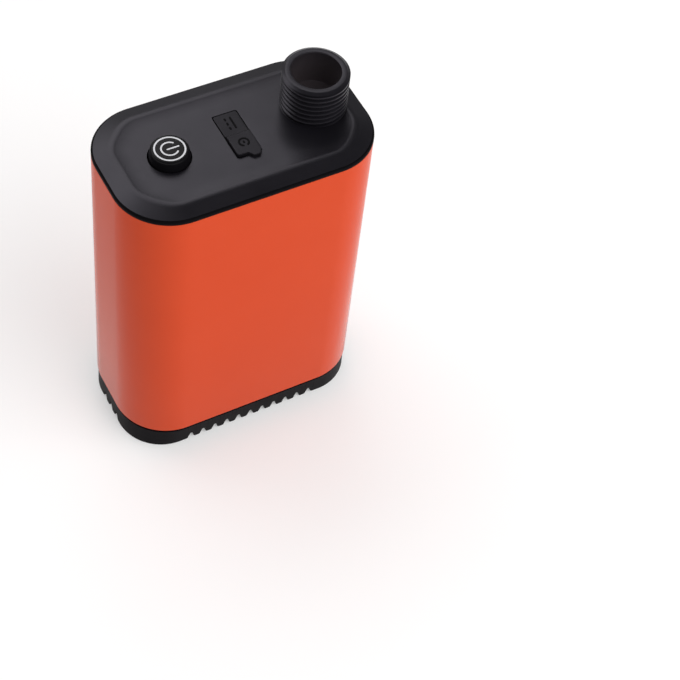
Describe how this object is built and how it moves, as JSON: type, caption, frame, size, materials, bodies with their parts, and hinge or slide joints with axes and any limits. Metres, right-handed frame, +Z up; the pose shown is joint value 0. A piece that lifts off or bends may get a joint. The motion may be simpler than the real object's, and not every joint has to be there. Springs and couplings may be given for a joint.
{
  "type": "camp shower pump",
  "caption": "Flat upright battery pump: orange sleeve, black cap with push button, covered charging port and threaded outlet, and a notched intake base.",
  "frame": {"origin": "on the ground under the middle of the base", "axes": "+Z up, +X towards the spigot's end of the body, -Y towards the front"},
  "size_m": [0.0854, 0.0486, 0.1322],
  "materials": {
    "orange_sleeve": "satin moulded ABS",
    "black_plastic": "fine-textured moulded ABS",
    "cover_rubber": "matt silicone rubber",
    "seal_rubber": "matt silicone rubber",
    "white_plastic": "moulded acetal",
    "steel": "zinc-plated",
    "brass": "tinned brass",
    "cell_wrap": "shrink-wrapped cell can",
    "board": "solder-masked glass laminate",
    "lead": "vinyl insulation"
  },
  "bodies": {
    "body": {"base_shell": "black_plastic", "base_screws": "steel", "intake_strainer": "steel", "suction_cover": "black_plastic", "cover_screws": "steel", "pump_casing": "black_plastic", "casing_seal": "seal_rubber", "shaft_seal": "seal_rubber", "motor_can": "steel", "motor_end_bell": "black_plastic", "motor_terminals": "brass", "motor_screws": "steel", "riser_pipe": "white_plastic", "riser_seals": "seal_rubber", "battery_cradle": "white_plastic", "battery_cell_front": "cell_wrap", "battery_cell_rear": "cell_wrap", "cell_link": "steel", "cell_tabs": "steel", "battery_leads": "lead", "motor_leads": "lead", "tie_screws": "steel", "body_sleeve": "orange_sleeve", "top_cap": "black_plastic", "cap_seal": "seal_rubber", "outlet_spigot": "black_plastic", "spigot_seal": "seal_rubber", "spigot_nut": "black_plastic", "button_boot": "seal_rubber", "tact_switch": "black_plastic", "control_board": "board", "board_screws": "steel", "dc_jack": "black_plastic", "jack_pin": "brass", "flap_anchor": "cover_rubber"},
    "button": {"power_button": "black_plastic", "switch_plunger": "white_plastic"},
    "flap": {"charge_flap": "cover_rubber"},
    "rotor": {"impeller": "white_plastic", "motor_shaft": "steel"}
  },
  "joints": [
    {"name": "button_press", "type": "slide", "parent": "body", "child": "button", "axis": [0, 0, -1], "range_m": [0, 0.0008], "stiffness_N_per_m": 2500},
    {"name": "flap_fold", "type": "hinge", "parent": "body", "child": "flap", "pos_m": [0.001, 0.00055, 0.1183], "axis": [-1, 0, 0], "range_deg": [0, 110], "stiffness_Nm_per_rad": 0.002},
    {"name": "rotor_spin", "type": "hinge", "parent": "body", "child": "rotor", "pos_m": [0.00275, -0.0035, 0.0131], "axis": [0, 0, 1], "continuous": true}
  ]
}
